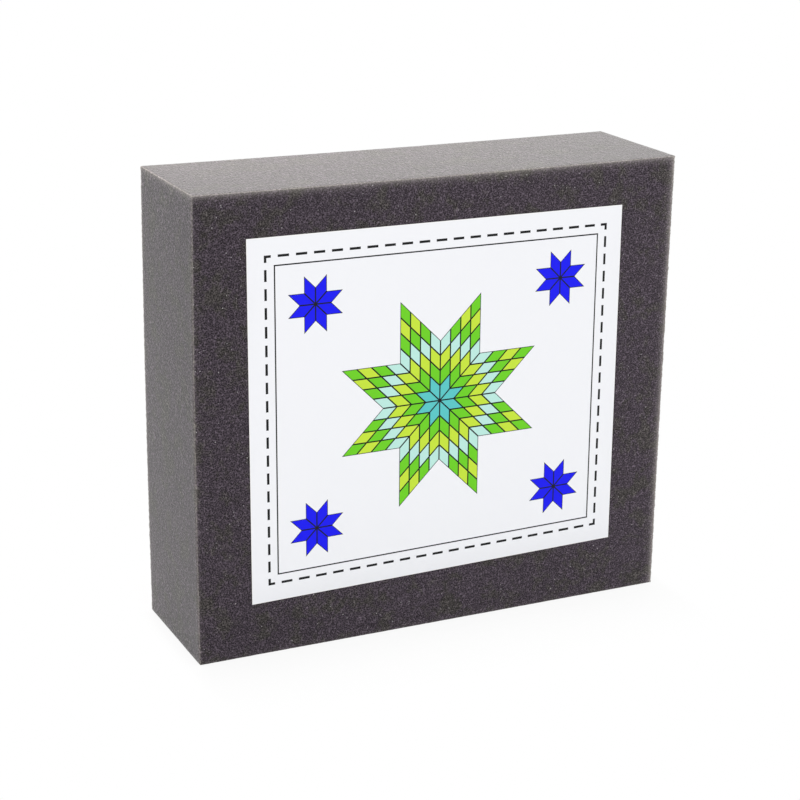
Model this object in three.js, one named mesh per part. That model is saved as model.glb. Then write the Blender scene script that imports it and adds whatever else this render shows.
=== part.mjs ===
// Needle felting mat: a knife-cut block of open-cell foam with a paper label stuck on its front face.
// Millimetres, +Z up. The block stands on a long narrow side, and the origin is under its middle.
// X runs along the width, and Y through the thickness from the labelled front to the bare back.
import * as THREE from "three";

// Foam block
const BLOCK_WIDTH = 225;
const BLOCK_THICKNESS = 64;
const BLOCK_HEIGHT = 203.2;
const EDGE_RADIUS = 0.6; // how far the blade and handling soften an edge
const CORNER_EXTRA_RADIUS = 0.4; // the four edges through the thickness are this much rounder
const EDGE_STEPS = 4;
const CORNER_STEPS = 5;

// Label
const LABEL_WIDTH = 175.6;
const LABEL_LEFT_HEIGHT = 159.6; // cut by hand, so a little out of square
const LABEL_RIGHT_HEIGHT = 156.3;
const LABEL_SHIFT_RIGHT = -1.3; // from the middle of the front face
const LABEL_SHIFT_UP = 3;
const LABEL_TILT_DEGREES = 0.45; // stuck on by hand, so a little askew
const PAPER_THICKNESS = 0.2;
const ADHESIVE_THICKNESS = 0.1;

const foamFinish = new THREE.MeshStandardMaterial({ color: 0x453f44, roughness: 0.95, metalness: 0 });
const paperFinish = new THREE.MeshStandardMaterial({ color: 0xf3f4f8, roughness: 0.55, metalness: 0 });
const adhesiveFinish = new THREE.MeshStandardMaterial({ color: 0xd9d4c4, roughness: 0.4, metalness: 0 });

function cutSheet(width, leftHeight, rightHeight) {
  const x = width / 2;
  const left = leftHeight / 2;
  const right = rightHeight / 2;
  return new THREE.Shape().moveTo(-x, -left).lineTo(x, -right).lineTo(x, right).lineTo(-x, left);
}

function roundedRectangle(width, height, radius) {
  const x = width / 2 - radius;
  const y = height / 2 - radius;
  const quarter = Math.PI / 2;
  return new THREE.Shape()
    .absarc(x, -y, radius, -quarter, 0)
    .absarc(x, y, radius, 0, quarter)
    .absarc(-x, y, radius, quarter, 2 * quarter)
    .absarc(-x, -y, radius, 2 * quarter, 3 * quarter);
}

// The block's outline runs through the thickness, and both large faces are eased round their rims.
// The flat of the front face lies at z = 0 here, with the foam behind it towards +z.
function foamGeometry() {
  const flatOfFace = roundedRectangle(
    BLOCK_WIDTH - 2 * EDGE_RADIUS,
    BLOCK_HEIGHT - 2 * EDGE_RADIUS,
    CORNER_EXTRA_RADIUS,
  );
  const geometry = new THREE.ExtrudeGeometry(flatOfFace, {
    depth: BLOCK_THICKNESS - 2 * EDGE_RADIUS,
    bevelThickness: EDGE_RADIUS,
    bevelSize: EDGE_RADIUS,
    bevelSegments: EDGE_STEPS,
    curveSegments: CORNER_STEPS,
  });
  return geometry.translate(0, 0, EDGE_RADIUS);
}

// One layer of the label, from z = 0 outwards.
function layerGeometry(thickness) {
  const sheet = cutSheet(LABEL_WIDTH, LABEL_LEFT_HEIGHT, LABEL_RIGHT_HEIGHT);
  return new THREE.ExtrudeGeometry(sheet, { depth: thickness, bevelEnabled: false });
}

function piece(name, geometry, finish) {
  const mesh = new THREE.Mesh(geometry, finish);
  mesh.name = name;
  return mesh;
}

const feltingMat = new THREE.Group();

// Origin in the middle of the front face, x to the right, y up, z out of the face.
const frontFace = new THREE.Group();
frontFace.position.set(0, -BLOCK_THICKNESS / 2, BLOCK_HEIGHT / 2);
frontFace.rotation.x = Math.PI / 2;
feltingMat.add(frontFace);

const foamBlock = piece("foam_block", foamGeometry(), foamFinish);
foamBlock.rotation.x = Math.PI;
frontFace.add(foamBlock);

const labelPlace = new THREE.Group();
labelPlace.position.set(LABEL_SHIFT_RIGHT, LABEL_SHIFT_UP, 0);
labelPlace.rotation.z = THREE.MathUtils.degToRad(LABEL_TILT_DEGREES);
frontFace.add(labelPlace);

const labelAdhesive = piece("label_adhesive", layerGeometry(ADHESIVE_THICKNESS), adhesiveFinish);
labelPlace.add(labelAdhesive);

const label = piece("label", layerGeometry(PAPER_THICKNESS), paperFinish);
label.position.z = ADHESIVE_THICKNESS;
labelPlace.add(label);

export default feltingMat;
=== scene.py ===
"""Needle felting mat: a knife-cut block of open-cell foam with a printed paper label on its front.

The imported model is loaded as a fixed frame, in metres, +Z up. Each operator makes one piece round it.
"""

import math

import bmesh
import bpy
from bpy.props import FloatProperty, FloatVectorProperty, IntProperty, PointerProperty
from mathutils import Matrix, Vector


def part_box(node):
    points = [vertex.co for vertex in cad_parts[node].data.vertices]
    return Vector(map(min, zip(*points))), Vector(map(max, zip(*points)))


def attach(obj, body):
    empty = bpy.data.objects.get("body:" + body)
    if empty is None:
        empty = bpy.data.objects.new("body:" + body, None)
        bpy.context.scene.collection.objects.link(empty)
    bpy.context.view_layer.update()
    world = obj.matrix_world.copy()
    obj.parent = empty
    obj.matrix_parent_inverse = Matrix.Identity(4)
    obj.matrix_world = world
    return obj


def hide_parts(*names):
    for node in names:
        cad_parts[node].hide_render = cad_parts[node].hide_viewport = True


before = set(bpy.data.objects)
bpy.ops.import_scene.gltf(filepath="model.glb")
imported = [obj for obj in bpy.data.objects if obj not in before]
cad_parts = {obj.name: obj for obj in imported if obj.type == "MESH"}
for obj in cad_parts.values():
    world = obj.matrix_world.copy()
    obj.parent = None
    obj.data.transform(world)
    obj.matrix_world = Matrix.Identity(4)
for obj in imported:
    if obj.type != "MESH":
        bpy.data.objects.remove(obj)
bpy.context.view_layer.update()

bl_info = {
    "name": "Needle felting mat",
    "version": (1, 0, 0),
    "blender": (4, 5, 0),
    "location": "3D View > Sidebar > Felting mat",
    "description": "Models a foam felting mat with its paper label, and a white studio to show it in",
    "category": "Object",
}

MM = 0.001
BODY = "root"
SENSOR_WIDTH = 36  # millimetres, as Blender's lenses are given

FOAM_LOW, FOAM_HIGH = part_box("foam_block")
FOAM_SIZE = FOAM_HIGH - FOAM_LOW
FOAM_CENTRE = (FOAM_LOW + FOAM_HIGH) / 2
LABEL_LOW, LABEL_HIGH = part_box("label")
LABEL_SIZE = LABEL_HIGH - LABEL_LOW
LABEL_CENTRE = (LABEL_LOW + LABEL_HIGH) / 2

# Tests on meshes
FACE_TOLERANCE = 0.1 * MM
STRAIGHT = 0.99  # least share of an edge's length that lies along its axis
LONG_RIM_EDGE = 0.7  # share of the grid pitch past which an edge of the rim is cut again
FACING = 0.5  # least part of a face's normal along the axis that it looks along

# Where the foam's finish changes, by parts of its unit normal
LARGE_FACE = 0.7  # least part through the thickness on the front and the back
SIDE_TO_TOP = (0.3, 0.7)  # part upwards
UPRIGHT_TO_BROW = (0.1, 0.4)  # part upwards, from the crest of an upright edge to that of a top edge
RIM_TO_TOP = (0.98, 0.9995)  # part upwards, from the top's rounded rim to its flat
CREST_TO_FLAT = (0.85, 0.999)  # largest part, from the crest of any edge to a flat face

# Where it changes by shares or by noise
LEFT_TO_RIGHT = (-0.5, 0.5)  # of half the width
# Dim and light patches of the painted highlight on the rounded crests
PATCH_NOISE = (0.3, 0.7)  # from the dim to the light patches of a crest
PATCH_LIGHT = (0.5, 1.5)
OLIVE_NOISE = (0.72, 0.94)  # from purple-grey to olive
# The flecks are painted glints where struts catch the light
GLINT_CHANCE = (0.6, 1.0)  # from the flecks that stay dark to the brightest
GLINT_RADIUS = (0.05, 0.14)  # in spacings, from the bright middle to the edge

# Where the finish of the label and the adhesive changes
BARE_SHARE = 0.6  # part of the uncoated rim, from the cut edge in, that is fully bare
FIBRE_NOISE = (0.2, 0.8)
ADHESIVE_NOISE = (0.3, 0.7)

# The label's UV map, in shares of its square: the printed face, the back and the rim
MAP_NAME = "OFBake"
MAP_MARGIN = 0.01
MAP_HEIGHT = 0.98
FACE_MAP = (0.01, 0.93)  # left side and width
BACK_MAP = (0.95, 0.02)
RIM_MAP = (0.98, 0.01)

# Sockets of a Mix node for each kind of value: the factor and the two inputs, then the output
MIX_INPUTS = {"FLOAT": (0, 2, 3), "RGBA": (0, 6, 7)}
MIX_OUTPUT = {"FLOAT": 0, "RGBA": 2}


# Settings

def length(name, description, default):
    return FloatProperty(name=name, description=description, default=default, unit="LENGTH", precision=5)


def angle(name, description, default):
    return FloatProperty(name=name, description=description, default=math.radians(default), unit="ROTATION")


def number(name, description, default):
    return FloatProperty(name=name, description=description, default=default)


def count(name, description, default):
    return IntProperty(name=name, description=description, default=default, min=1)


def share(name, description, default):
    return FloatProperty(
        name=name, description=description, default=default, min=0, max=1, subtype="FACTOR"
    )


def colour(name, description, default):
    return FloatVectorProperty(
        name=name, description=description, default=default, size=3, min=0, max=1, subtype="COLOR"
    )


def position(name, description, default):
    return FloatVectorProperty(
        name=name, description=description, default=default, size=3, subtype="TRANSLATION"
    )


class FoamSettings(bpy.types.PropertyGroup):
    # Mesh
    edge_radius: length("Edge radius", "How far the cut edges have softened", 0.6 * MM)
    edge_segments: count("Edge segments", "Facets across a softened edge", 5)
    grid_pitch: length("Grid pitch", "Spacing of the vertices on the faces", 2.25 * MM)
    rim_width: length("Rim width", "Width of the finer mesh along every edge", 4.8 * MM)
    rim_cuts: count("Rim cuts", "Cuts in each edge of the mesh there", 2)

    # Shape
    fray_depth: length("Fray depth", "Depth of the open cells where they break an upright edge", 0.5 * MM)
    level_fray: share("Level fray", "How much of that depth the level edges have", 0.2)
    fray_width: length("Fray width", "How far from an edge cells are broken", 1.6 * MM)
    pit_size: length("Pit size", "Spacing of the broken cells along the edges", 1.1 * MM)
    wave_depth: length("Wave depth", "Depth of the slow waves on the cut faces", 0.06 * MM)
    wave_size: length("Wave size", "Spacing of those waves", 24 * MM)
    calm_width: length("Calm width", "Distance from the label in which the waves reach their depth", 8 * MM)
    sag: length("Sag", "How far the top settles in the middle", 0.42 * MM)
    bulge_left: length("Left bulge", "How far the left end swells at mid height", 0.5 * MM)
    bulge_right: length("Right bulge", "How far the right end swells at mid height", -0.17 * MM)

    # Open cells: their dark pits are painted shade inside the cells, over random grit and blotches
    cell_size: length("Cell size", "Spacing of the open cells on the large faces", 0.6 * MM)
    side_cell_gain: number("Side cells", "How many times wider cells are on the narrow faces", 1.15)
    side_cell_stretch: number("Side stretch", "How many times longer they are through the thickness", 1.5)
    grit_size: length("Grit size", "Size of the broken strut ends", 0.3 * MM)
    blotch_size: length("Blotch size", "Size of the faint darker and lighter blotches", 4 * MM)
    swell_size: length("Swell size", "Size of the soft swells under the cells", 1.5 * MM)
    cell_tone: number("Cell tone", "How strongly the cells show", 1.5)
    grit_tone: number("Grit tone", "How strongly the strut ends show", 0.9)
    blotch_tone: number("Blotch tone", "How strongly the blotches show", 0.15)
    pit_tone: number("Pit tone", "Least tone of a pit, before the power", 0.3)
    tone_power: number("Tone power", "Exponent that deepens the pits", 2.0)
    darkest_tone: number("Darkest tone", "Least tone on any face", 0.02)
    # The stronger contrast on the narrow faces, most on the top, paints the shade between struts seen at a
    # slant
    side_contrast: number("Side contrast", "How many times stronger cells show on the narrow faces", 1.1)
    top_contrast: number("Top contrast", "How many times stronger cells show on the top face", 1.5)
    relief_strength: share("Relief strength", "How far the cells turn the surface's normal", 0.6)
    relief_depth: length("Relief depth", "Depth of the cells", 0.2 * MM)
    side_relief: number("Side relief", "How many times deeper the cells are on the narrow faces", 0.6)
    top_relief: number("Top relief", "How many times deeper the cells are on the top face", 0.9)

    # Painted light along the edges: the base colour is made lighter where light shines through the thin
    # foam and its loose struts near an edge, and painted highlights lie on the rounded crests
    edge_light_reach: length("Edge light reach", "Distance in which the light edge fades to a third", 1.1 * MM)
    top_edge_light: number("Top edge light", "Light from loose struts under the top edges", 4.4)
    left_edge_light: number("Left edge light", "The same on the large faces along the left edges", 0.5)
    right_edge_light: number("Right edge light", "The same on the large faces along the right edges", 9.5)
    end_edge_light: number("End edge light", "The same on the narrow faces along the front upright edges", 3.2)
    back_edge_light: number("Back edge light", "The same on the narrow faces along the back upright edges", 5.5)
    foot_edge_light: number("Foot edge light", "The same along the bottom edges", 0.7)
    # Painted highlights on the rounded crests of the edges
    crest_light_hold: share("Crest hold", "How much of the upright edges' light their rounded crest keeps", 0.25)
    left_crest_highlight: number("Left crest", "What the rounded upright edges add to that at the left", 2.1)
    right_crest_highlight: number("Right crest", "What the rounded upright edges add to that at the right", 2.8)
    brow_crest_highlight: number("Brow crest", "What the rounded top edges add", 2.2)
    edge_light_grain: share("Edge light grain", "How much of the cells' contrast is left in the frayed edges", 0.1)
    # Colour of the painted edge light
    edge_light_colour: colour("Painted edge light", "Colour that loose struts add", (0.053, 0.050, 0.0455))

    # Colour and finish
    body_colour: colour("Foam", "Colour of the foam between cells", (0.0555, 0.0445, 0.056))
    # Painted light: the large faces are paler towards the right end and darker towards the left, as the
    # front takes more light at the right
    pale_end: share("Pale end", "How much paler the large faces are at the right than in the middle", 0.085)
    olive_colour: colour("Olive cast", "Colour of the foam in its olive patches", (0.0525, 0.047, 0.046))
    olive_size: length("Olive size", "Size of the olive patches", 11 * MM)
    olive_speck_size: length("Olive speck size", "Size of the specks that break them up", 2.2 * MM)
    olive_speck_share: share("Olive specks", "How strongly the specks break them up", 0.5)
    # Painted glints: a few struts that catch the light
    glint_colour: colour("Flecks", "Colour of struts that catch the light", (0.55, 0.53, 0.54))
    glint_spacing: length("Fleck spacing", "Spacing of the places where a fleck can be", 2 * MM)
    roughness: share("Roughness", "Roughness of the foam", 0.95)
    specular: share("Specular", "How strongly the foam mirrors light", 0.1)
    sheen_tint: colour("Sheen", "Tint of the light that loose struts scatter", (0.972, 1.0, 0.960))
    sheen_weight: share("Sheen weight", "How strongly the struts scatter grazing light", 1.0)
    sheen_roughness: share("Sheen roughness", "How far from grazing the scatter reaches", 0.30)


class LabelSettings(bpy.types.PropertyGroup):
    # Sheet
    tilt: angle("Tilt", "How far the label is turned on the face, right side up", 0.45)
    taper: length("Taper", "How much lower the sheet is cut on the right than on the left", 3.3 * MM)
    sheet_cuts: count("Sheet cuts", "Cuts in the mesh of the sheet, each way", 15)
    edge_bevel: length("Edge bevel", "Softening of the cut edge of the paper", 0.03 * MM)
    bevel_segments: count("Bevel segments", "Facets across that edge", 2)
    smooth_angle: angle("Smooth angle", "Largest turn between facets that look round", 30)

    # Printed design
    star_side: length("Star side", "Side of each of the eight large diamonds", 27 * MM)
    star_rows: count("Star rows", "Rows of patches in a large diamond", 4)
    corner_star_side: length("Corner star side", "Side of a corner star's diamonds", 7.2 * MM)
    corner_inset: length("Corner inset", "From the stitching to the middle of a corner star", 22 * MM)
    stitch_inset: length("Stitch inset", "From the paper's edge to the row of stitches", 8 * MM)
    stitch_length: length("Stitch length", "Length of one printed stitch", 5 * MM)
    stitch_period: length("Stitch period", "Spacing of the printed stitches", 8 * MM)
    stitch_width: length("Stitch width", "Thickness of the printed stitches", 1.1 * MM)
    rule_inset: length("Rule inset", "From the paper's edge to the thin rule", 12 * MM)
    rule_width: length("Rule width", "Thickness of the thin rule", 0.6 * MM)
    seam_width: length("Seam width", "Thickness of the lines between patches", 0.6 * MM)
    black_ink: colour("Black ink", "Colour of lines and stitches", (0.006, 0.006, 0.007))
    blue_ink: colour("Blue ink", "Colour of the corner stars", (0.002, 0.002, 0.90))
    leaf_ink: colour("Leaf green ink", "First patch colour", (0.156, 0.644, 0.013))
    lime_ink: colour("Lime ink", "Second patch colour", (0.578, 0.791, 0.045))
    aqua_ink: colour("Aqua ink", "Third patch colour", (0.515, 0.831, 0.753))
    teal_ink: colour("Teal ink", "Fourth patch colour", (0.102, 0.578, 0.578))

    # Paper
    paper_colour: colour("Paper", "Colour of the coated paper", (0.900, 0.909, 0.943))
    rim_colour: colour("Paper rim", "Colour of the bare paper", (0.965, 0.965, 0.97))
    bare_rim: length("Bare rim", "Width of the uncoated rim of the paper", 0.45 * MM)
    fibre_colour: colour("Fibre", "Colour of the paper's fibres", (0.80, 0.80, 0.82))
    fibre_share: share("Fibre share", "How strongly the fibres show", 0.02)
    fibre_size: length("Fibre size", "Size of the fibres", 0.9 * MM)
    fibre_detail: number("Fibre detail", "Octaves of the fibres' noise", 4.0)
    fibre_depth: length("Fibre depth", "Depth of the fibres", 0.05 * MM)
    fibre_relief: share("Fibre relief", "How far the fibres turn the surface's normal", 0.05)
    coat_roughness: share("Coat roughness", "Roughness where the coating is smoothest", 0.5)
    fibre_roughness: share("Fibre roughness", "Roughness where fibres show most", 0.62)
    specular: share("Specular", "How strongly the paper mirrors light", 0.25)


class AdhesiveSettings(bpy.types.PropertyGroup):
    patch_size: length("Patch size", "Size of the thinner and thicker patches", 3 * MM)
    thin_colour: colour("Thin adhesive", "Colour of the thinner patches", (0.62, 0.59, 0.49))
    thick_colour: colour("Thick adhesive", "Colour of the thicker patches", (0.75, 0.72, 0.61))
    thin_roughness: share("Thin roughness", "Roughness of the thinner patches", 0.3)
    thick_roughness: share("Thick roughness", "Roughness of the thicker patches", 0.5)


class StageSettings(bpy.types.PropertyGroup):
    camera_place: position("Camera place", "Where the camera stands", (-0.3726, -0.7671, 0.3729))
    azimuth: angle("Azimuth", "Turn of the view about the vertical", -25.615)
    elevation: angle("Elevation", "How far the view looks down", 18.059)
    roll: angle("Roll", "Turn of the view about its own axis", 0.863)
    focal_length: FloatProperty(
        name="Focal length", description="Lens in millimetres on a 36 mm sensor",
        default=90.39, unit="CAMERA",
    )
    floor_size: length("Floor size", "Side of the square floor", 8.0)
    floor_gap: length("Floor gap", "How far the floor lies under the block", 0.02 * MM)
    floor_colour: colour("Floor", "Colour of the floor", (0.945, 0.943, 0.935))
    floor_glow: share("Floor glow", "How far the floor beside the block is plain white to the camera", 0.88)
    shadow_front: length("Shadow in front", "How far before and behind the block its shadow shows", 62 * MM)
    shadow_side: length("Shadow beside", "How far left and right of the block its shadow shows", 8 * MM)
    room_light: number("Room light", "Strength of the even light", 1.055)
    back_light: number("Back light", "Power of the small softbox, in watts", 0.33)
    back_light_colour: colour("Back light colour", "Tint of the softbox", (1.0, 0.775, 0.80))
    back_light_size: length("Back light size", "Side of the softbox behind the block", 0.1)
    back_light_place: position("Back light place", "Where the softbox stands", (-0.081, 0.215, 0.288))


# Node helpers

class Nodes:
    """Adds nodes to one tree and wires each as it is made."""

    def __init__(self, tree):
        self.tree = tree

    def add(self, kind, wires=None, **settings):
        node = self.tree.nodes.new(kind)
        for name, value in settings.items():
            setattr(node, name, value)
        for socket, value in (wires or {}).items():
            self.feed(node.inputs[socket], value)
        return node

    def feed(self, socket, value):
        if isinstance(value, bpy.types.NodeSocket):
            self.tree.links.new(value, socket)
        else:
            socket.default_value = value

    def math(self, operation, *values):
        node = self.add("ShaderNodeMath", operation=operation)
        for socket, value in zip(node.inputs, values):
            self.feed(socket, value)
        return node.outputs[0]

    def split(self, vector):
        """The parts of a vector along X, Y and Z."""
        return self.add("ShaderNodeSeparateXYZ", {"Vector": vector}).outputs

    def step(self, value, low, high, at_low=0.0, at_high=1.0):
        """A smooth step from one value at low to the other at high."""
        wires = {"Value": value, "From Min": low, "From Max": high, "To Min": at_low, "To Max": at_high}
        return self.add("ShaderNodeMapRange", wires, interpolation_type="SMOOTHSTEP").outputs["Result"]

    def blend(self, factor, first, second):
        """A number that goes from the first value to the second with the factor."""
        return self.join("FLOAT", (factor, first, second))

    def mix(self, factor, first, second, blend="MIX"):
        """The same for colours, with a blend mode."""
        return self.join("RGBA", (factor, first, second), blend_type=blend)

    def join(self, kind, values, **settings):
        node = self.add("ShaderNodeMix", data_type=kind, **settings)
        for i, value in zip(MIX_INPUTS[kind], values):
            self.feed(node.inputs[i], value)
        return node.outputs[MIX_OUTPUT[kind]]

    def noise(self, place, size, detail=2.0):
        wires = {"Vector": place, "Scale": 1 / size, "Detail": detail}
        return self.add("ShaderNodeTexNoise", wires).outputs[0]

    def cells(self, place, size):
        return self.add("ShaderNodeTexVoronoi", {"Vector": place, "Scale": 1 / size}).outputs

    def relief(self, height, strength, depth):
        wires = {"Strength": strength, "Distance": depth, "Height": height}
        return self.add("ShaderNodeBump", wires).outputs["Normal"]

    def finish(self, wires):
        """Ends a material with one Principled surface."""
        shader = self.add("ShaderNodeBsdfPrincipled", wires)
        self.surface(shader.outputs["BSDF"])

    def surface(self, shader, output="ShaderNodeOutputMaterial"):
        self.add(output, {"Surface": shader})


def rgba(value):
    return (*value, 1.0)


def new_material(name):
    material = bpy.data.materials.new(name)
    material.use_nodes = True
    material.node_tree.nodes.clear()
    return material, Nodes(material.node_tree)


# Mesh helpers

def select_edges(piece, wanted):
    """In edit mode, selects the edges that pass the test."""
    bpy.ops.mesh.select_mode(type="EDGE")
    bpy.ops.mesh.select_all(action="DESELECT")
    mesh = bmesh.from_edit_mesh(piece.data)
    for edge in mesh.edges:
        edge.select_set(wanted(edge))
    mesh.select_flush_mode()
    bmesh.update_edit_mesh(piece.data)


def weigh(piece, name, weight_of):
    """Adds a vertex group whose weights come from each vertex's place."""
    group = piece.vertex_groups.new(name=name)
    for vertex in piece.data.vertices:
        group.add([vertex.index], weight_of(vertex.co), "REPLACE")


def displace(piece, group, strength, direction="NORMAL", texture=None):
    """Moves the vertices of a group. A texture's white stays where it is and its black moves the most."""
    modifier = piece.modifiers.new(group, "DISPLACE")
    modifier.vertex_group = group
    modifier.direction = direction
    modifier.strength = strength
    modifier.mid_level = 0.0
    if texture:
        modifier.texture = texture
        modifier.texture_coords = "LOCAL"
        modifier.mid_level = 1.0
    bpy.ops.object.modifier_apply(modifier=modifier.name)


def clamp(value):
    return min(1.0, max(0.0, value))


def smooth(value):
    value = clamp(value)
    return value * value * (3 - 2 * value)


# Foam block

def face_distances(point):
    """Distance to the nearer face of the block along each axis."""
    return [min(point[i] - FOAM_LOW[i], FOAM_HIGH[i] - point[i]) for i in range(3)]


def edge_distance(point):
    """Distance to the nearest edge of the block, for a point on its surface."""
    return sorted(face_distances(point))[1]


def on_front(point):
    return point.y < FOAM_LOW.y + FACE_TOLERANCE


def runs_along(edge, axis):
    span = edge.verts[1].co - edge.verts[0].co
    return abs(span[axis]) > STRAIGHT * span.length


def make_foam_mesh(settings):
    """Cuts a block with eased edges into a grid that is finer along its edges."""
    bpy.ops.object.select_all(action="DESELECT")
    bpy.ops.mesh.primitive_cube_add(size=1, location=FOAM_CENTRE)
    block = bpy.context.object
    block.name = "open_cell_foam"
    bpy.ops.transform.resize(value=FOAM_SIZE)
    bpy.ops.object.transform_apply(location=True, rotation=True, scale=True)

    def in_rim(edge):
        long = edge.calc_length() > LONG_RIM_EDGE * settings.grid_pitch
        return long and all(edge_distance(vertex.co) < settings.rim_width for vertex in edge.verts)

    bpy.ops.object.mode_set(mode="EDIT")
    bpy.ops.mesh.select_all(action="SELECT")
    bpy.ops.mesh.bevel(offset=settings.edge_radius, segments=settings.edge_segments, affect="EDGES")
    for axis, span in enumerate(FOAM_SIZE):
        select_edges(block, lambda edge: edge.calc_length() > span / 2 and runs_along(edge, axis))
        bpy.ops.mesh.subdivide(number_cuts=round(span / settings.grid_pitch) - 1)
    select_edges(block, in_rim)
    bpy.ops.mesh.subdivide(number_cuts=settings.rim_cuts, ngon=False)
    bpy.ops.object.mode_set(mode="OBJECT")
    return block


def loosen_foam(block, settings):
    """Gives the cut block its broken cells along the edges, its waves, and its settled stance."""
    half_width = FOAM_SIZE.x / 2
    height = FOAM_SIZE.z

    def rim(point):
        level = 1 - smooth(face_distances(point)[2] / settings.fray_width)
        near_edge = 1 - smooth(edge_distance(point) / settings.fray_width)
        return near_edge * (1 - level * (1 - settings.level_fray))

    def waves(point):
        beside_label = max(
            LABEL_LOW.x - point.x, point.x - LABEL_HIGH.x, LABEL_LOW.z - point.z, point.z - LABEL_HIGH.z
        )
        return smooth(beside_label / settings.calm_width) if on_front(point) else 1.0

    def sag(point):
        return point.z / height * (1 - (point.x / half_width) ** 2)

    def bulge_right(point):
        return clamp(point.x / half_width) * (1 - (2 * point.z / height - 1) ** 2)

    def bulge_left(point):
        return clamp(-point.x / half_width) * (1 - (2 * point.z / height - 1) ** 2)

    cells = bpy.data.textures.new("Broken cells", "VORONOI")
    cells.noise_scale = settings.pit_size
    slow = bpy.data.textures.new("Slow waves", "CLOUDS")
    slow.noise_scale = settings.wave_size

    for weight_of in (rim, waves, sag, bulge_right, bulge_left):
        weigh(block, weight_of.__name__, weight_of)
    displace(block, "waves", settings.wave_depth, texture=slow)
    displace(block, "rim", settings.fray_depth, texture=cells)
    displace(block, "sag", -settings.sag, direction="Z")
    displace(block, "bulge_right", settings.bulge_right, direction="X")
    displace(block, "bulge_left", -settings.bulge_left, direction="X")
    block.vertex_groups.clear()


class FoamPlan:
    """Where a point of the foam lies and which way it faces, as sockets of a node tree."""

    def __init__(self, nodes):
        coordinates = nodes.add("ShaderNodeTexCoord").outputs
        self.place = coordinates["Object"]
        self.axes = nodes.split(self.place)
        self.facing = nodes.split(coordinates["Normal"])
        self.on_large = nodes.math("GREATER_THAN", nodes.math("ABSOLUTE", self.facing["Y"]), LARGE_FACE)
        self.rightness = nodes.math("DIVIDE", self.axes["X"], FOAM_SIZE.x / 2)
        squarest = nodes.math("ABSOLUTE", self.facing["X"])
        for axis in "YZ":
            squarest = nodes.math("MAXIMUM", squarest, nodes.math("ABSOLUTE", self.facing[axis]))
        self.crest = nodes.step(squarest, *CREST_TO_FLAT, 1.0, 0.0)


def foam_cells(nodes, settings, plan):
    """Tone and height of the cells: dark pits with gritty rims, longer through the thickness. The dark pits
    are painted shade inside the open cells; the grit and blotches are random tone.
    """
    side_scale = Vector((1, 1 / settings.side_cell_stretch, 1)) / settings.side_cell_gain
    wires = {0: plan.place, 1: side_scale}
    at_sides = nodes.add("ShaderNodeVectorMath", wires, operation="MULTIPLY").outputs[0]
    scaled = nodes.mix(plan.on_large, at_sides, plan.place)
    rims = nodes.cells(scaled, settings.cell_size)["Distance"]
    layers = (
        (rims, settings.cell_tone),
        (nodes.noise(scaled, settings.grit_size), settings.grit_tone),
        (nodes.noise(plan.place, settings.blotch_size), settings.blotch_tone),
    )
    tone = 1.0
    for layer, weight in layers:
        tone = nodes.math("MULTIPLY_ADD", nodes.math("SUBTRACT", layer, 0.5), weight, tone)
    tone = nodes.math("POWER", nodes.math("MAXIMUM", tone, settings.pit_tone), settings.tone_power)
    # Stronger contrast on the narrow faces, most on the top, paints the shade between struts seen at a
    # slant
    contrast = nodes.step(plan.facing["Z"], *SIDE_TO_TOP, settings.side_contrast, settings.top_contrast)
    contrast = nodes.blend(plan.on_large, contrast, 1.0)
    tone = nodes.math("MULTIPLY_ADD", nodes.math("SUBTRACT", tone, 1.0), contrast, 1.0)
    tone = nodes.math("MAXIMUM", tone, settings.darkest_tone)

    height = nodes.math("ADD", rims, nodes.noise(scaled, settings.swell_size))
    relief = nodes.step(plan.facing["Z"], *SIDE_TO_TOP, settings.side_relief, settings.top_relief)
    height = nodes.math("MULTIPLY", height, nodes.blend(plan.on_large, relief, 1.0))
    return tone, height


def painted_edge_light(nodes, settings, plan):
    """How much painted light the base colour gets along the edges: light that the thin foam and its loose
    struts let through, and painted highlights on the rounded crests.
    """

    def fade(distance):
        return nodes.math("EXPONENT", nodes.math("DIVIDE", distance, -settings.edge_light_reach))

    def inset(axis):
        i = "XYZ".index(axis)
        off_middle = nodes.math("ABSOLUTE", nodes.math("SUBTRACT", plan.axes[axis], FOAM_CENTRE[i]))
        return nodes.math("SUBTRACT", FOAM_SIZE[i] / 2, off_middle)

    # Upright edges
    quarter = FOAM_SIZE.y / 4
    gain = nodes.step(plan.rightness, *LEFT_TO_RIGHT, settings.left_edge_light, settings.right_edge_light)
    end_gain = nodes.step(plan.axes["Y"], -quarter, quarter, settings.end_edge_light, settings.back_edge_light)
    gain = nodes.blend(plan.on_large, end_gain, gain)
    gain = nodes.math("MULTIPLY", gain, nodes.blend(plan.crest, 1.0, settings.crest_light_hold))
    light = nodes.math("MULTIPLY", gain, fade(nodes.math("MAXIMUM", inset("X"), inset("Y"))))

    # Edges of the settled top, and of the foot
    settled = nodes.math("MULTIPLY_ADD", plan.rightness, plan.rightness, -1.0)
    settled = nodes.math("MULTIPLY", settled, settings.sag)
    under_top = nodes.math("SUBTRACT", nodes.math("ADD", settled, FOAM_HIGH.z), plan.axes["Z"])
    light = nodes.math("MULTIPLY_ADD", fade(under_top), settings.top_edge_light, light)
    light = nodes.math("MULTIPLY_ADD", fade(plan.axes["Z"]), settings.foot_edge_light, light)

    # Painted highlights on the rounded crests, in patches, and no painted edge light on the flat of the top
    crest_gain = nodes.step(plan.rightness, *LEFT_TO_RIGHT, settings.left_crest_highlight, settings.right_crest_highlight)
    crest_gain = nodes.step(plan.facing["Z"], *UPRIGHT_TO_BROW, crest_gain, settings.brow_crest_highlight)
    patches = nodes.step(nodes.noise(plan.place, settings.pit_size), *PATCH_NOISE, *PATCH_LIGHT)
    light = nodes.math("MULTIPLY_ADD", nodes.math("MULTIPLY", plan.crest, patches), crest_gain, light)
    return nodes.math("MULTIPLY", light, nodes.step(plan.facing["Z"], *RIM_TO_TOP, 1.0, 0.0))


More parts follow.
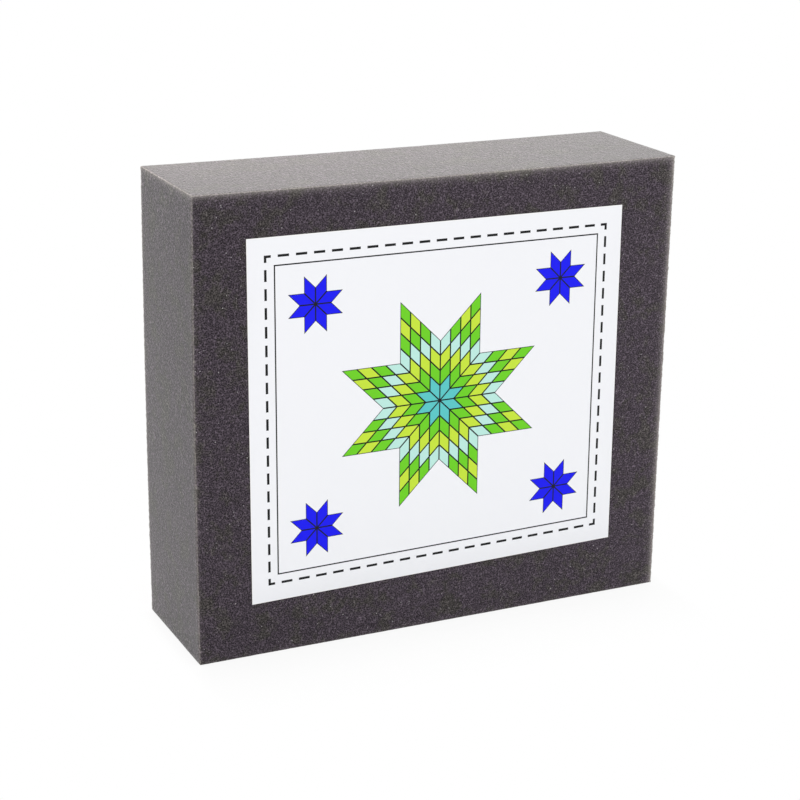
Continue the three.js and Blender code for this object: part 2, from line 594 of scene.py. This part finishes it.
def foam_colour(nodes, settings, plan, tone):
    """Purple-grey with olive patches, painted light along the edges, the right end painted paler, and
    painted glints on a few struts that catch the light.
    """
    specks = nodes.noise(plan.place, settings.olive_speck_size)
    large = nodes.noise(plan.place, settings.olive_size)
    drift = nodes.math("MULTIPLY_ADD", specks, settings.olive_speck_share, large)
    olive = nodes.step(drift, *OLIVE_NOISE)
    tint = nodes.mix(olive, rgba(settings.body_colour), rgba(settings.olive_colour))
    # Painted light: paler towards the right end of the large faces, darker towards the left
    pale = nodes.math("MULTIPLY", plan.on_large, settings.pale_end)
    pale = nodes.math("MULTIPLY_ADD", plan.rightness, pale, 1.0)
    result = nodes.mix(1.0, tint, nodes.math("MULTIPLY", tone, pale), "MULTIPLY")

    # Painted light along the edges, with a little of the cells' grain kept in it
    grain = nodes.math("MULTIPLY_ADD", nodes.math("SUBTRACT", tone, 1.0), settings.edge_light_grain, 1.0)
    light = nodes.math("MULTIPLY", painted_edge_light(nodes, settings, plan), grain)
    light = nodes.mix(1.0, rgba(settings.edge_light_colour), light, "MULTIPLY")
    result = nodes.mix(1.0, result, light, "ADD")

    # Painted glints on a few struts that catch the light
    flecks = nodes.cells(plan.place, settings.glint_spacing)
    chance = nodes.add("ShaderNodeSeparateColor", {"Color": flecks["Color"]}).outputs["Red"]
    near = nodes.step(flecks["Distance"], *GLINT_RADIUS, 1.0, 0.0)
    fleck = nodes.math("MULTIPLY", nodes.step(chance, *GLINT_CHANCE), near)
    return nodes.mix(fleck, result, rgba(settings.glint_colour))


def foam_material(settings):
    material, nodes = new_material("Open-cell foam")
    plan = FoamPlan(nodes)
    tone, height = foam_cells(nodes, settings, plan)
    nodes.finish({
        "Base Color": foam_colour(nodes, settings, plan, tone),
        "Roughness": settings.roughness,
        "Specular IOR Level": settings.specular,
        "Sheen Weight": settings.sheen_weight,
        "Sheen Roughness": settings.sheen_roughness,
        "Sheen Tint": rgba(settings.sheen_tint),
        "Normal": nodes.relief(height, settings.relief_strength, settings.relief_depth),
    })
    return material


class FELTING_OT_foam_block(bpy.types.Operator):
    """Models the block of open-cell foam, cut square and a little loose along its edges"""

    bl_idname = "felting.foam_block"
    bl_label = "Foam block"

    def execute(self, context):
        settings = context.scene.felting_foam
        block = make_foam_mesh(settings)
        loosen_foam(block, settings)
        bpy.ops.object.shade_smooth()
        block.modifiers.new("Flat faces", "WEIGHTED_NORMAL")
        bpy.ops.object.modifier_apply(modifier="Flat faces")
        block.data.materials.append(foam_material(settings))
        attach(block, BODY)
        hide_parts("foam_block")
        return {"FINISHED"}


# Label

def label_size(settings):
    """Width, left height and middle of the tilted sheet, from the box that holds it."""
    cosine, sine = math.cos(settings.tilt), math.sin(settings.tilt)
    height = LABEL_SIZE.z / cosine
    width = (LABEL_SIZE.x - (height - settings.taper / 2) * sine) / cosine
    middle = LABEL_CENTRE + Vector((settings.taper * sine / 4, 0, width * sine / 2))
    return width, height, middle


def make_label_mesh(settings):
    """Cuts the tilted sheet a little lower on the right, and gives it the paper's thickness."""
    width, height, middle = label_size(settings)
    middle.y = LABEL_LOW.y
    bpy.ops.object.select_all(action="DESELECT")
    bpy.ops.mesh.primitive_plane_add(size=1, location=middle, rotation=(math.pi / 2, -settings.tilt, 0))
    sheet = bpy.context.object
    sheet.name = "printed_label"
    sheet.scale = (width, height, 1)
    bpy.ops.object.transform_apply(location=True, rotation=True, scale=True)

    bpy.ops.object.mode_set(mode="EDIT")
    select_edges(sheet, lambda edge: all(vertex.co.x > middle.x for vertex in edge.verts))
    bpy.ops.transform.resize(value=Vector.Fill(3, 1 - settings.taper / height))
    bpy.ops.mesh.select_all(action="SELECT")
    bpy.ops.mesh.subdivide(number_cuts=settings.sheet_cuts)
    bpy.ops.object.mode_set(mode="OBJECT")

    paper = sheet.modifiers.new("Paper", "SOLIDIFY")
    paper.thickness = LABEL_SIZE.y
    paper.offset = -1
    bpy.ops.object.modifier_apply(modifier=paper.name)
    cut_edge = sheet.modifiers.new("Cut edge", "BEVEL")
    cut_edge.width = settings.edge_bevel
    cut_edge.segments = settings.bevel_segments
    bpy.ops.object.modifier_apply(modifier=cut_edge.name)
    return sheet


def map_label(sheet):
    """Gives the printed face most of its UV map, and the back and the rim a strip each."""
    layer = sheet.data.uv_layers.new(name=MAP_NAME)
    for face in sheet.data.polygons:
        for corner in face.loop_indices:
            point = sheet.data.vertices[sheet.data.loops[corner].vertex_index].co - LABEL_LOW
            right, back, up = point.x / LABEL_SIZE.x, point.y / LABEL_SIZE.y, point.z / LABEL_SIZE.z
            if face.normal.y < -FACING:
                (left, width), across, along = FACE_MAP, right, up
            elif face.normal.y > FACING:
                (left, width), across, along = BACK_MAP, right, up
            else:
                (left, width), across, along = RIM_MAP, back, (right + up) / 2
            layer.data[corner].uv = (left + width * across, MAP_MARGIN + MAP_HEIGHT * along)


def quilt_star_group():
    """A star of eight diamonds, each pieced from rows of smaller ones.

    Across and Up are measured from the star's middle. Ring counts the patches outwards, Seam is the
    distance to the nearest line between patches, and Inside is 1 within the star.
    """
    tree = bpy.data.node_groups.new("Quilt star", "ShaderNodeTree")
    for name in ("Across", "Up", "Side", "Rows"):
        tree.interface.new_socket(name, in_out="INPUT", socket_type="NodeSocketFloat")
    for name in ("Ring", "Seam", "Inside"):
        tree.interface.new_socket(name, in_out="OUTPUT", socket_type="NodeSocketFloat")
    nodes = Nodes(tree)
    given = nodes.add("NodeGroupInput").outputs
    eighth = math.pi / 4

    # Distance in patches along the two sides of the diamond that a point lies in
    turn = nodes.math("ARCTAN2", given["Up"], given["Across"])
    turn = nodes.math("FLOORED_MODULO", turn, eighth)
    square = nodes.math("MULTIPLY", given["Across"], given["Across"])
    square = nodes.math("MULTIPLY_ADD", given["Up"], given["Up"], square)
    patch_side = nodes.math("DIVIDE", given["Side"], given["Rows"])
    reach = nodes.math("DIVIDE", nodes.math("SQRT", square), patch_side)
    second = nodes.math("MULTIPLY", reach, nodes.math("SINE", turn))
    second = nodes.math("DIVIDE", second, math.sin(eighth))
    first = nodes.math("MULTIPLY", reach, nodes.math("COSINE", turn))
    first = nodes.math("SUBTRACT", first, nodes.math("MULTIPLY", second, math.cos(eighth)))

    ring = nodes.math("ADD", nodes.math("FLOOR", first), nodes.math("FLOOR", second))
    to_line = nodes.math("MINIMUM", *[nodes.math("PINGPONG", side, 0.5) for side in (first, second)])
    seam = nodes.math("MULTIPLY", nodes.math("MULTIPLY", to_line, patch_side), math.sin(eighth))
    inside = nodes.math("LESS_THAN", nodes.math("MAXIMUM", first, second), given["Rows"])
    nodes.add("NodeGroupOutput", {"Ring": ring, "Seam": seam, "Inside": inside})
    return tree


class LabelPlan:
    """Where a point of the label lies, level with its tilt, as sockets of a node tree."""

    def __init__(self, nodes, settings):
        self.nodes = nodes
        self.width, self.height, middle = label_size(settings)
        self.place = nodes.add("ShaderNodeTexCoord").outputs["Object"]
        wires = {"Vector": self.place, "Location": middle, "Rotation": (0, -settings.tilt, 0)}
        level = nodes.add("ShaderNodeMapping", wires, vector_type="TEXTURE").outputs["Vector"]
        axes = nodes.split(level)
        self.across, self.up = axes["X"], axes["Z"]
        slope = -settings.taper / 2 / self.width
        mean_half_height = self.height / 2 - settings.taper / 4
        self.half_height = nodes.math("MULTIPLY_ADD", self.across, slope, mean_half_height)

    def past_upright(self, inset):
        """How far a point lies outside an upright line that is set in from the paper's side."""
        from_middle = self.nodes.math("ABSOLUTE", self.across)
        return self.nodes.math("SUBTRACT", from_middle, self.width / 2 - inset)

    def past_level(self, inset):
        """The same for a level line that is set in from the paper's top or foot."""
        from_level = self.nodes.math("ABSOLUTE", self.up)
        return self.nodes.math("SUBTRACT", from_level, self.nodes.math("SUBTRACT", self.half_height, inset))

    def past_frame(self, inset):
        return self.nodes.math("MAXIMUM", self.past_upright(inset), self.past_level(inset))

    def line(self, distance, thickness):
        return self.nodes.math("LESS_THAN", self.nodes.math("ABSOLUTE", distance), thickness / 2)


def label_paper(nodes, settings, plan, fibre):
    """A faint cast of coating that stops short of the cut edge."""
    at_rim = nodes.step(plan.past_frame(0), -settings.bare_rim, -BARE_SHARE * settings.bare_rim)
    paper = nodes.mix(at_rim, rgba(settings.paper_colour), rgba(settings.rim_colour))
    fibre_shown = nodes.math("MULTIPLY", fibre, settings.fibre_share)
    return nodes.mix(fibre_shown, paper, rgba(settings.fibre_colour))


def ring_ink(nodes, ring, inks):
    """The ink of each ring of patches, from the middle of a star outwards."""
    ramp = nodes.add("ShaderNodeValToRGB")
    ramp.color_ramp.interpolation = "CONSTANT"
    while len(ramp.color_ramp.elements) < len(inks):
        ramp.color_ramp.elements.new(1.0)
    for i, (element, ink) in enumerate(zip(ramp.color_ramp.elements, inks)):
        element.position = i / len(inks)
        element.color = rgba(ink)
    nodes.feed(ramp.inputs["Fac"], nodes.math("DIVIDE", nodes.math("ADD", ring, 0.5), float(len(inks))))
    return ramp.outputs["Color"]


def print_stars(nodes, settings, plan, paper):
    """A quilt star in the middle and a small one in each corner. Returns their colour and their seams."""
    tree = quilt_star_group()

    def star(across, up, side, rows):
        wires = {"Across": across, "Up": up, "Side": side, "Rows": float(rows)}
        return nodes.add("ShaderNodeGroup", wires, node_tree=tree).outputs

    def seams(star):
        return nodes.math("MULTIPLY", plan.line(star["Seam"], settings.seam_width), star["Inside"])

    inks = (settings.teal_ink, settings.leaf_ink, settings.lime_ink, settings.aqua_ink,
            settings.leaf_ink, settings.lime_ink, settings.leaf_ink)
    large = star(plan.across, plan.up, settings.star_side, settings.star_rows)
    printed = nodes.mix(large["Inside"], paper, ring_ink(nodes, large["Ring"], inks))
    inset = settings.stitch_inset + settings.corner_inset
    small = star(plan.past_upright(inset), plan.past_level(inset), settings.corner_star_side, 1)
    printed = nodes.mix(small["Inside"], printed, rgba(settings.blue_ink))
    return printed, nodes.math("MAXIMUM", seams(large), seams(small))


def print_frame(nodes, settings, plan):
    """A thin rule and a frame of running stitches, as 1 where they lie."""
    rule = plan.line(plan.past_frame(settings.rule_inset), settings.rule_width)
    row_half_width = plan.width / 2 - settings.stitch_inset
    row_half_height = nodes.math("SUBTRACT", plan.half_height, settings.stitch_inset)
    stitches_across = round(row_half_width / settings.stitch_period)
    stitches_up = round((plan.height / 2 - settings.stitch_inset) / settings.stitch_period)
    along = nodes.blend(
        nodes.math("GREATER_THAN", plan.past_upright(0), plan.past_level(0)),
        nodes.math("MULTIPLY", plan.across, stitches_across / row_half_width),
        nodes.math("MULTIPLY", nodes.math("DIVIDE", plan.up, row_half_height), stitches_up),
    )
    half_stitch = settings.stitch_length / settings.stitch_period / 2
    dash = nodes.math("LESS_THAN", nodes.math("PINGPONG", along, 0.5), half_stitch)
    row = plan.line(plan.past_frame(settings.stitch_inset), settings.stitch_width)
    return nodes.math("MAXIMUM", rule, nodes.math("MULTIPLY", row, dash))


def label_material(settings):
    material, nodes = new_material("Printed label paper")
    plan = LabelPlan(nodes, settings)
    fibre = nodes.noise(plan.place, settings.fibre_size, settings.fibre_detail)
    paper = label_paper(nodes, settings, plan, fibre)
    printed, seams = print_stars(nodes, settings, plan, paper)
    black = nodes.math("MAXIMUM", seams, print_frame(nodes, settings, plan))
    nodes.finish({
        "Base Color": nodes.mix(black, printed, rgba(settings.black_ink)),
        "Roughness": nodes.step(fibre, *FIBRE_NOISE, settings.coat_roughness, settings.fibre_roughness),
        "Specular IOR Level": settings.specular,
        "Normal": nodes.relief(fibre, settings.fibre_relief, settings.fibre_depth),
    })
    return material


class FELTING_OT_label(bpy.types.Operator):
    """Models the paper label and prints a quilt design on it"""

    bl_idname = "felting.label"
    bl_label = "Label"

    def execute(self, context):
        settings = context.scene.felting_label
        sheet = make_label_mesh(settings)
        map_label(sheet)
        bpy.ops.object.shade_smooth_by_angle(angle=settings.smooth_angle)
        sheet.data.materials.append(label_material(settings))
        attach(sheet, BODY)
        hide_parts("label")
        return {"FINISHED"}


# Adhesive

def adhesive_material(settings):
    material, nodes = new_material("Clear adhesive")
    place = nodes.add("ShaderNodeTexCoord").outputs["Object"]
    patch = nodes.noise(place, settings.patch_size)
    nodes.finish({
        "Base Color": nodes.mix(patch, rgba(settings.thin_colour), rgba(settings.thick_colour)),
        "Roughness": nodes.step(patch, *ADHESIVE_NOISE, settings.thin_roughness, settings.thick_roughness),
    })
    return material


class FELTING_OT_adhesive(bpy.types.Operator):
    """Gives the layer of adhesive behind the label its finish"""

    bl_idname = "felting.adhesive"
    bl_label = "Adhesive"

    def execute(self, context):
        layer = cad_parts["label_adhesive"]
        layer.data.materials.clear()
        layer.data.materials.append(adhesive_material(context.scene.felting_adhesive))
        return {"FINISHED"}


# Stage

def seen_directly(nodes):
    """1 for rays from the camera or from a mirror or glass, 0 for rays that only carry light."""
    path = nodes.add("ShaderNodeLightPath").outputs
    seen = nodes.math("MAXIMUM", path["Is Camera Ray"], path["Is Glossy Ray"])
    return nodes.math("MAXIMUM", seen, path["Is Transmission Ray"])


def floor_material(settings):
    """Matte white with the block's shadow, which fades to plain white away from the block."""
    material, nodes = new_material("White floor")
    matte = nodes.add("ShaderNodeBsdfDiffuse", {"Color": rgba(settings.floor_colour)})
    white = nodes.add("ShaderNodeEmission", {"Color": (1, 1, 1, 1), "Strength": 1.0})
    axes = nodes.split(nodes.add("ShaderNodeTexCoord").outputs["Object"])
    beside = []
    for axis, span, reach in zip(axes, FOAM_SIZE.xy, (settings.shadow_side, settings.shadow_front)):
        past_block = nodes.math("SUBTRACT", nodes.math("ABSOLUTE", axis), span / 2)
        beside.append(nodes.math("DIVIDE", nodes.math("MAXIMUM", past_block, 0.0), reach))
    away = nodes.math("SQRT", nodes.math("ADD", *[nodes.math("MULTIPLY", side, side) for side in beside]))
    glow = nodes.step(away, 0.0, 1.0, settings.floor_glow, 1.0)
    glow = nodes.math("MULTIPLY", seen_directly(nodes), glow)
    both = nodes.add("ShaderNodeMixShader", {0: glow, 1: matte.outputs[0], 2: white.outputs[0]})
    nodes.surface(both.outputs[0])
    return material


def make_floor(settings):
    bpy.ops.object.select_all(action="DESELECT")
    under_block = (0, 0, FOAM_LOW.z - settings.floor_gap)
    bpy.ops.mesh.primitive_plane_add(size=settings.floor_size, location=under_block)
    floor = bpy.context.object
    floor.name = "studio_floor"
    floor.data.materials.append(floor_material(settings))


def light_room(settings):
    """Even light from a white room, and a small softbox behind the block."""
    world = bpy.data.worlds.new("White room")
    world.use_nodes = True
    world.node_tree.nodes.clear()
    nodes = Nodes(world.node_tree)
    light = nodes.add("ShaderNodeBackground", {"Color": (1, 1, 1, 1), "Strength": settings.room_light})
    white = nodes.add("ShaderNodeBackground", {"Color": (1, 1, 1, 1), "Strength": 1.0})
    wires = {0: seen_directly(nodes), 1: light.outputs[0], 2: white.outputs[0]}
    both = nodes.add("ShaderNodeMixShader", wires)
    nodes.surface(both.outputs[0], "ShaderNodeOutputWorld")
    bpy.context.scene.world = world

    place = Vector(settings.back_light_place)
    aim = (FOAM_CENTRE - place).to_track_quat("-Z", "Y").to_euler()
    bpy.ops.object.light_add(type="AREA", location=place, rotation=aim)
    softbox = bpy.context.object
    softbox.name = "back_softbox"
    softbox.data.size = settings.back_light_size
    softbox.data.energy = settings.back_light
    softbox.data.color = settings.back_light_colour


def place_camera(settings):
    azimuth, elevation, roll = settings.azimuth, settings.elevation, settings.roll
    forward = Vector((
        -math.sin(azimuth) * math.cos(elevation),
        math.cos(azimuth) * math.cos(elevation),
        -math.sin(elevation),
    ))
    level = forward.cross(Vector((0, 0, 1))).normalized()
    upright = level.cross(forward)
    right = math.cos(roll) * level + math.sin(roll) * upright
    up = math.cos(roll) * upright - math.sin(roll) * level
    bpy.ops.object.camera_add()
    camera = bpy.context.object
    camera.name = "photo_camera"
    turn = Matrix((right, up, -forward)).transposed().to_4x4()
    camera.matrix_world = Matrix.Translation(settings.camera_place) @ turn
    camera.data.lens = settings.focal_length
    camera.data.sensor_width = SENSOR_WIDTH
    bpy.context.scene.camera = camera


class FELTING_OT_stage(bpy.types.Operator):
    """Makes the white floor, the soft studio light and the camera"""

    bl_idname = "felting.stage"
    bl_label = "Studio"

    def execute(self, context):
        settings = context.scene.felting_stage
        place_camera(settings)
        make_floor(settings)
        light_room(settings)
        context.scene.view_settings.view_transform = "Standard"
        return {"FINISHED"}


# Panel and registration

class FELTING_PT_mat(bpy.types.Panel):
    bl_label = "Needle felting mat"
    bl_idname = "FELTING_PT_mat"
    bl_space_type = "VIEW_3D"
    bl_region_type = "UI"
    bl_category = "Felting mat"

    def draw(self, context):
        for operator in OPERATORS:
            self.layout.operator(operator.bl_idname)


OPERATORS = (FELTING_OT_stage, FELTING_OT_foam_block, FELTING_OT_label, FELTING_OT_adhesive)
SETTINGS = {
    "felting_foam": FoamSettings,
    "felting_label": LabelSettings,
    "felting_adhesive": AdhesiveSettings,
    "felting_stage": StageSettings,
}


def register():
    for kind in (*SETTINGS.values(), *OPERATORS, FELTING_PT_mat):
        bpy.utils.register_class(kind)
    for name, kind in SETTINGS.items():
        setattr(bpy.types.Scene, name, PointerProperty(type=kind))


def unregister():
    for name in SETTINGS:
        delattr(bpy.types.Scene, name)
    for kind in (FELTING_PT_mat, *OPERATORS, *SETTINGS.values()):
        bpy.utils.unregister_class(kind)


def main():
    register()
    bpy.ops.felting.stage()
    bpy.ops.felting.foam_block()
    bpy.ops.felting.label()
    bpy.ops.felting.adhesive()


if __name__ == "__main__":
    main()
